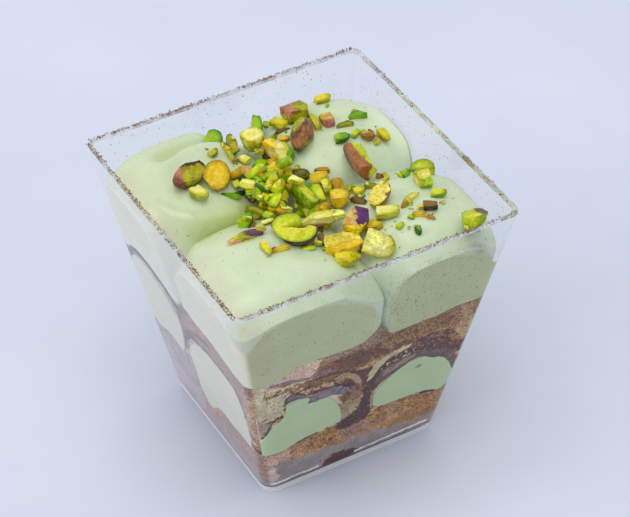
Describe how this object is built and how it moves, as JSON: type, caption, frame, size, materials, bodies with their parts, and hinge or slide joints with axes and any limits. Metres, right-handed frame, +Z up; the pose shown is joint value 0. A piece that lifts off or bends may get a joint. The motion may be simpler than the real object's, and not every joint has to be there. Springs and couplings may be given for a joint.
{
  "type": "tiramisu dessert cup",
  "caption": "Square tapered clear cup filled with layers of soaked sponge, marbled cocoa and pale green cream, topped with chopped pistachios.",
  "frame": {"origin": "centre of the underside of the cup, on the surface it stands on", "axes": "+Z up, -Y towards the front wall, +X to the right"},
  "size_m": [0.0748, 0.0748, 0.0744],
  "materials": {
    "clear_plastic": "clear, thin, glossy moulded polystyrene",
    "cream": "smooth pale green whipped cream with a soft sheen",
    "sponge": "coffee-soaked sponge, porous and matt",
    "marbled": "dark cocoa and coffee streaks through pale cream",
    "pistachio": "yellow-green cut kernel, satin",
    "pistachio_skin": "wrinkled brown to purple kernel skin, matt"
  },
  "bodies": {
    "root": {"cup": "clear_plastic", "sponge_bottom": "sponge", "sponge_top": "sponge", "marbled_layer": "marbled", "cream_mid_front_left": "cream", "cream_mid_front_right": "cream", "cream_mid_back_left": "cream", "cream_mid_back_right": "cream", "cream_top_front_left": "cream", "cream_top_front_right": "cream", "cream_top_back_left": "cream", "cream_top_back_right": "cream", "pistachio_slab_curved": "pistachio", "pistachio_split_half": "pistachio", "pistachio_skin_big": "pistachio_skin", "pistachio_whole": "pistachio_skin", "pistachio_chunk_back": "pistachio", "pistachio_half_pink": "pistachio_skin", "pistachio_round_slice": "pistachio", "pistachio_slab_green": "pistachio", "pistachio_purple": "pistachio_skin", "pistachio_long_yellow": "pistachio", "pistachio_orange_block": "pistachio", "pistachio_yellow_chunk": "pistachio", "pistachio_kernel_end": "pistachio", "pistachio_pale_block": "pistachio", "pistachio_gold_block": "pistachio", "pistachio_right_block": "pistachio", "pistachio_corner_half": "pistachio"}
  },
  "joints": []
}
